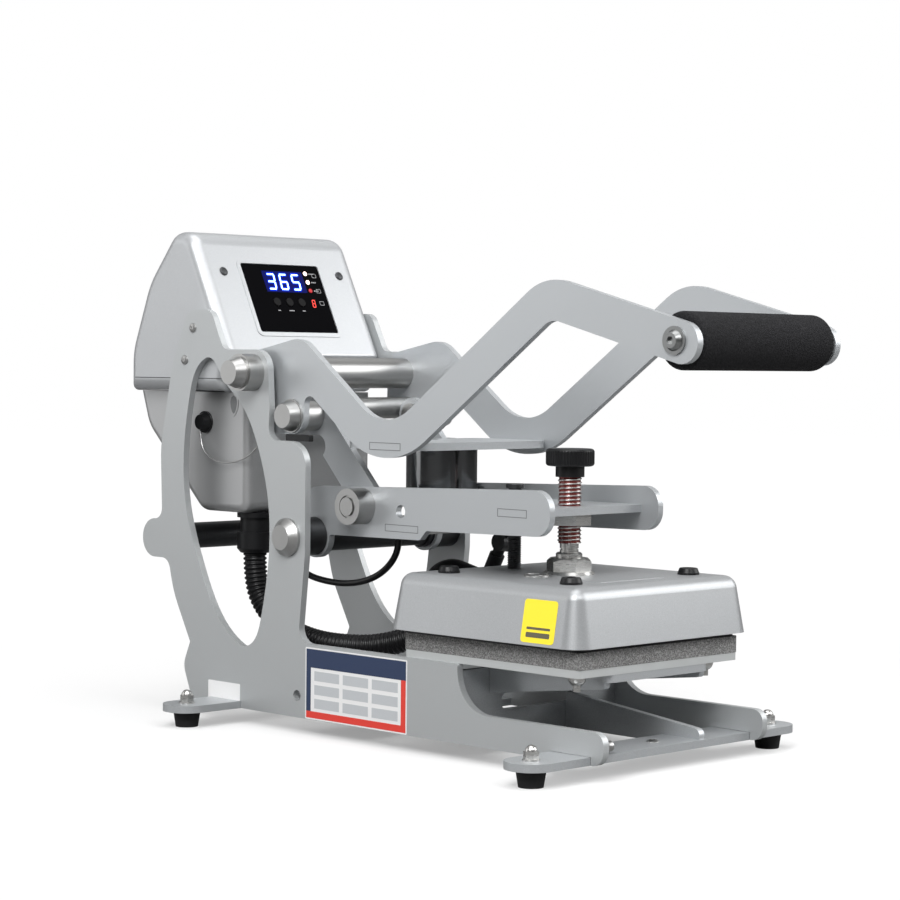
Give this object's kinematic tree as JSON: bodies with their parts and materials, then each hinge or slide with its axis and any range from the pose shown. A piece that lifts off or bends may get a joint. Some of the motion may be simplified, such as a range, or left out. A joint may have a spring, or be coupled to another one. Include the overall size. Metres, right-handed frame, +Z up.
{
  "type": "clamshell_heat_press",
  "caption": "Clamshell heat press for small labels, with a toggle handle, a square heated head, a padded lower platen and a slanted control head",
  "frame": {"origin": "On the table under the middle of the machine's length, on its plane of symmetry", "axes": "+X to the operator's right, along the hinge axes; +Y from the grip to the control head; +Z up"},
  "size_m": [0.263, 0.5448, 0.3475],
  "materials": {
    "silver_paint": "silver powder coat",
    "white_paint": "light silver coat",
    "grey_blue_paint": "silver blue coat",
    "bright_steel": "turned, zinc plated",
    "polished_steel": "nickel plated",
    "dark_steel": "black oxide",
    "rod_chrome": "hard chrome",
    "platen_aluminium": "milled",
    "grey_pad": "silicone foam",
    "black_rubber": "matt",
    "black_plastic": "matt",
    "display_window": "clear window over a dark display"
  },
  "bodies": {
    "frame": {"arm_pivot_bushes": "dark_steel", "arm_pivot_shaft": "bright_steel", "base_cross_plate": "silver_paint", "base_rib": "silver_paint", "cable_gland": "black_plastic", "carry_tube": "dark_steel", "control_panel": "black_plastic", "display_glass": "display_window", "foot_studs": "bright_steel", "front_foot_plate": "silver_paint", "fuse_cap": "black_plastic", "handle_pivot_shaft": "bright_steel", "heater_conduit": "black_plastic", "left_side_plate": "silver_paint", "lower_cover": "grey_blue_paint", "lower_platen": "platen_aluminium", "magnet_cable": "black_rubber", "magnet_cable_gland": "black_plastic", "platen_bracket": "silver_paint", "platen_nuts": "dark_steel", "platen_pad": "grey_pad", "power_inlet": "black_plastic", "rear_base_plate": "silver_paint", "rear_foot_plate": "silver_paint", "right_side_plate": "silver_paint", "rubber_feet": "black_rubber", "upper_cover": "white_paint"},
    "arm": {"left_arm_plate": "silver_paint", "right_arm_plate": "silver_paint", "arm_pivot_tube": "dark_steel", "arm_link_pins": "bright_steel", "nut_plate": "silver_paint", "pressure_nut": "bright_steel", "magnet_plate": "bright_steel", "electromagnet": "polished_steel"},
    "handle": {"left_handle_plate": "silver_paint", "right_handle_plate": "silver_paint", "upper_cross_tube": "bright_steel", "lower_cross_tube": "bright_steel", "strike_plate": "silver_paint", "grip_core": "dark_steel", "foam_grip": "black_rubber", "grip_bolts": "bright_steel", "toggle_pins": "bright_steel"},
    "left_toggle": {"left_link": "silver_paint"},
    "right_toggle": {"right_link": "silver_paint"},
    "head": {"hood": "silver_paint", "heat_platen": "platen_aluminium", "hood_plugs": "black_plastic", "flange_nut": "bright_steel", "guide_post": "dark_steel", "hood_elbow": "black_plastic"},
    "screw": {"pressure_screw": "bright_steel", "pressure_knob": "black_plastic"},
    "spring_cylinder": {"spring_tube": "dark_steel"},
    "spring_piston": {"spring_rod": "rod_chrome"},
    "left_key": {"left_button": "black_plastic"},
    "middle_key": {"middle_button": "black_plastic"},
    "right_key": {"right_button": "black_plastic"},
    "rocker": {"power_rocker": "black_plastic"}
  },
  "joints": [
    {"name": "arm_fold", "type": "hinge", "parent": "frame", "child": "arm", "pos_m": [0, 0.08035, 0.134], "axis": [-1, 0, 0], "range_deg": [0, 52.56]},
    {"name": "handle_swing", "type": "hinge", "parent": "frame", "child": "handle", "pos_m": [0, 0.11865, 0.2467], "axis": [-1, 0, 0], "range_deg": [0, 75.2]},
    {"name": "left_link_swing", "type": "hinge", "parent": "handle", "child": "left_toggle", "pos_m": [0, 0.08815, 0.2171], "axis": [1, 0, 0], "range_deg": [0, 109.3]},
    {"name": "right_link_swing", "type": "hinge", "parent": "handle", "child": "right_toggle", "pos_m": [0, 0.08815, 0.2171], "axis": [1, 0, 0], "range_deg": [0, 109.3]},
    {"name": "spring_swing", "type": "hinge", "parent": "frame", "child": "spring_piston", "pos_m": [0.036, 0.04135, 0.028], "axis": [-1, 0, 0], "range_deg": [0, 21.38]},
    {"name": "spring_stroke", "type": "slide", "parent": "spring_piston", "child": "spring_cylinder", "axis": [0, -0.4643, 0.8857], "range_m": [0, 0.06303]},
    {"name": "head_height", "type": "slide", "parent": "arm", "child": "head", "axis": [0, 0, 1], "range_m": [0, 0.008]},
    {"name": "screw_turn", "type": "hinge", "parent": "head", "child": "screw", "pos_m": [0, -0.10825, 0.16], "axis": [0, 0, 1], "range_deg": [0, 1441]},
    {"name": "left_key_press", "type": "slide", "parent": "frame", "child": "left_key", "axis": [0, 0.8944, -0.4472], "range_m": [0, 0.0008], "stiffness_N_per_m": 400, "springref_m": -0.001},
    {"name": "middle_key_press", "type": "slide", "parent": "frame", "child": "middle_key", "axis": [0, 0.8944, -0.4472], "range_m": [0, 0.0008], "stiffness_N_per_m": 400, "springref_m": -0.001},
    {"name": "right_key_press", "type": "slide", "parent": "frame", "child": "right_key", "axis": [0, 0.8944, -0.4472], "range_m": [0, 0.0008], "stiffness_N_per_m": 400, "springref_m": -0.001},
    {"name": "power_switch", "type": "hinge", "parent": "frame", "child": "rocker", "pos_m": [0.026, 0.26235, 0.247], "axis": [1, 0, 0], "range_deg": [0, 14]}
  ],
  "couplings": [
    {"joint": "handle_swing", "follows": "arm_fold", "ratio": 1.4269},
    {"joint": "left_link_swing", "follows": "arm_fold", "ratio": 2.0757},
    {"joint": "right_link_swing", "follows": "arm_fold", "ratio": 2.0757},
    {"joint": "spring_swing", "follows": "arm_fold", "ratio": 0.40487},
    {"joint": "spring_stroke", "follows": "arm_fold", "m_per_rad": 0.068491},
    {"joint": "screw_turn", "follows": "head_height", "rad_per_m": 3141.6}
  ]
}
